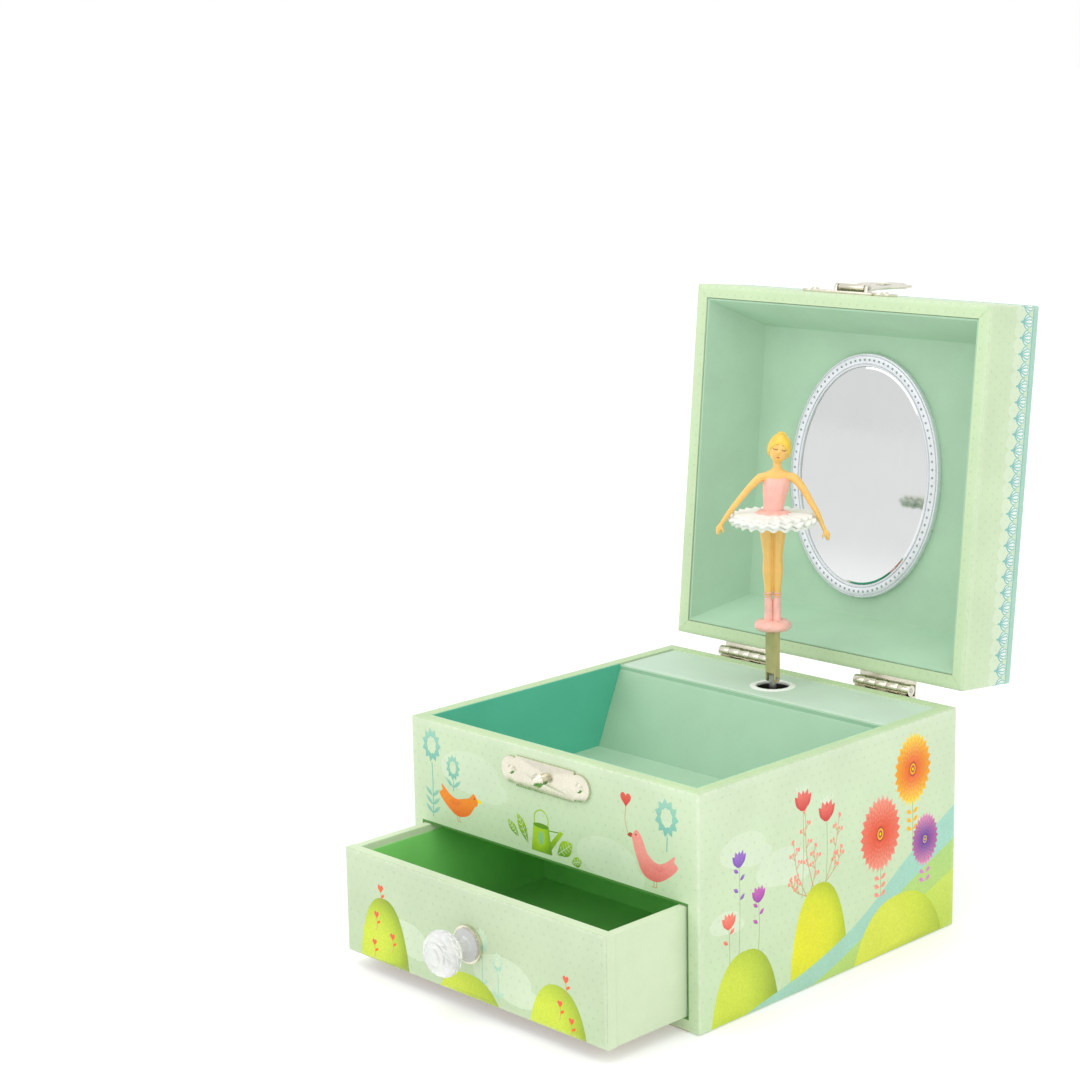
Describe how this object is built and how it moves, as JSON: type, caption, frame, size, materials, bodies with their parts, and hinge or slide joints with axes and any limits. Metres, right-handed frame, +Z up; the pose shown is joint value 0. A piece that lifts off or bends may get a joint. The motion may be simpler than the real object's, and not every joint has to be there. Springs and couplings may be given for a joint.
{
  "type": "wind-up music box",
  "caption": "Square paper-covered music box with a hinged mirror lid, a folding dancer that turns with the movement, a pull-out drawer, a hasp latch and a winding key.",
  "frame": {"origin": "centre of the square underside of the case, where it rests", "axes": "+Z up, square to the underside; -Y is the front with drawer and latch; +X is the right side seen from the front; rest pose has the lid open on its stops and the drawer part-way out"},
  "size_m": [0.108, 0.1915, 0.1776],
  "materials": {
    "board": "plain grey-brown board",
    "printed_paper": "satin printed paper, pale green ground",
    "lid_print": "satin printed paper with garden print",
    "mint_lining": "matt mint paper",
    "teal_lining": "matt teal-green paper",
    "drawer_lining": "matt deep green paper",
    "nickel": "warm nickel plate",
    "steel": "plain steel",
    "brass": "turned brass",
    "stem_metal": "dull brass-plated folded sheet",
    "cup_white": "white gloss",
    "doll_skin": "glossy painted plastic",
    "doll_pink": "painted plastic",
    "tutu_white": "white plastic net",
    "mirror": "silvered",
    "mirror_frame": "silver-grey beaded rim",
    "acrylic": "clear moulded acrylic"
  },
  "bodies": {
    "case": {"side_boards": "board", "bottom_board": "board", "front_board": "board", "back_board": "board", "divider_board": "board", "tray_floor": "board", "partition_panel": "mint_lining", "mechanism_cover": "mint_lining", "cover_cleats": "board", "cup_ring": "cup_white", "base_wrap": "printed_paper", "tray_lining": "teal_lining", "catch_plate": "nickel", "base_nails": "nickel", "hinge_base_leaves": "nickel", "hinge_pins": "steel", "bedplate": "steel", "movement_screws": "steel", "barrel_bridge": "steel", "movement_bearings": "brass", "comb": "steel", "comb_block": "steel", "pivot_post": "steel"},
    "mainspring_works": {"winding_key": "nickel", "key_arbor": "steel", "spring_barrel": "brass", "mainspring": "steel", "crown_wheel": "brass"},
    "cylinder_works": {"music_cylinder": "brass", "cylinder_pins": "steel", "cylinder_arbor": "steel", "cylinder_gear": "brass"},
    "governor": {"governor_gear": "brass"},
    "fan": {"air_fan": "brass"},
    "stem": {"stem_channel": "stem_metal"},
    "dancer": {"dancer_spindle": "steel", "dancer_stand": "doll_pink", "dancer_figure": "doll_skin", "dancer_bodice": "doll_pink", "dancer_tutu": "tutu_white", "drive_spring": "steel"},
    "lid": {"lid_walls": "board", "lid_top_board": "board", "lid_wrap": "lid_print", "lid_lining": "mint_lining", "mirror_frame": "mirror_frame", "mirror_glass": "mirror", "hinge_lid_leaves": "nickel", "lid_nails": "nickel", "latch_plate": "nickel", "hasp_pin": "steel"},
    "hasp": {"hasp_tongue": "nickel"},
    "drawer": {"drawer_front": "board", "drawer_walls": "printed_paper", "drawer_bottom": "board", "drawer_wrap": "printed_paper", "drawer_lining": "drawer_lining", "drawer_knob": "acrylic", "knob_fittings": "nickel"}
  },
  "joints": [
    {"name": "lid_hinge", "type": "hinge", "parent": "case", "child": "lid", "pos_m": [0, 0.057, 0.0648], "axis": [1, 0, 0], "range_deg": [0, 95.5]},
    {"name": "dancer_fold", "type": "hinge", "parent": "case", "child": "stem", "pos_m": [0, 0.0385, 0.066], "axis": [1, 0, 0], "range_deg": [0, 95.5], "deforming": ["drive_spring"]},
    {"name": "dancer_spin", "type": "hinge", "parent": "stem", "child": "dancer", "pos_m": [0, 0.0385, 0.078], "axis": [0, 0, 1], "continuous": true},
    {"name": "key_turn", "type": "hinge", "parent": "case", "child": "mainspring_works", "pos_m": [0, 0.04, 0.02], "axis": [0, 1, 0], "continuous": true},
    {"name": "cylinder_spin", "type": "hinge", "parent": "case", "child": "cylinder_works", "pos_m": [0, 0.0385, 0.043], "axis": [0, 0, 1], "continuous": true},
    {"name": "governor_gear_spin", "type": "hinge", "parent": "case", "child": "governor", "pos_m": [-0.0096, 0.0385, 0.05], "axis": [0, 0, 1], "continuous": true},
    {"name": "fan_spin", "type": "hinge", "parent": "case", "child": "fan", "pos_m": [-0.016, 0.0385, 0.05], "axis": [0, 0, 1], "continuous": true},
    {"name": "hasp_pivot", "type": "hinge", "parent": "lid", "child": "hasp", "pos_m": [0, 0.07449, 0.17654], "axis": [1, 0, 0], "range_deg": [0, 174]},
    {"name": "drawer_slide", "type": "slide", "parent": "case", "child": "drawer", "axis": [0, 1, 0], "range_m": [-0.024, 0.029]}
  ],
  "couplings": [
    {"joint": "dancer_fold", "follows": "lid_hinge", "ratio": 1},
    {"joint": "cylinder_spin", "follows": "key_turn", "ratio": 3},
    {"joint": "dancer_spin", "follows": "key_turn", "ratio": 3},
    {"joint": "governor_gear_spin", "follows": "key_turn", "ratio": -9},
    {"joint": "fan_spin", "follows": "key_turn", "ratio": 27}
  ]
}
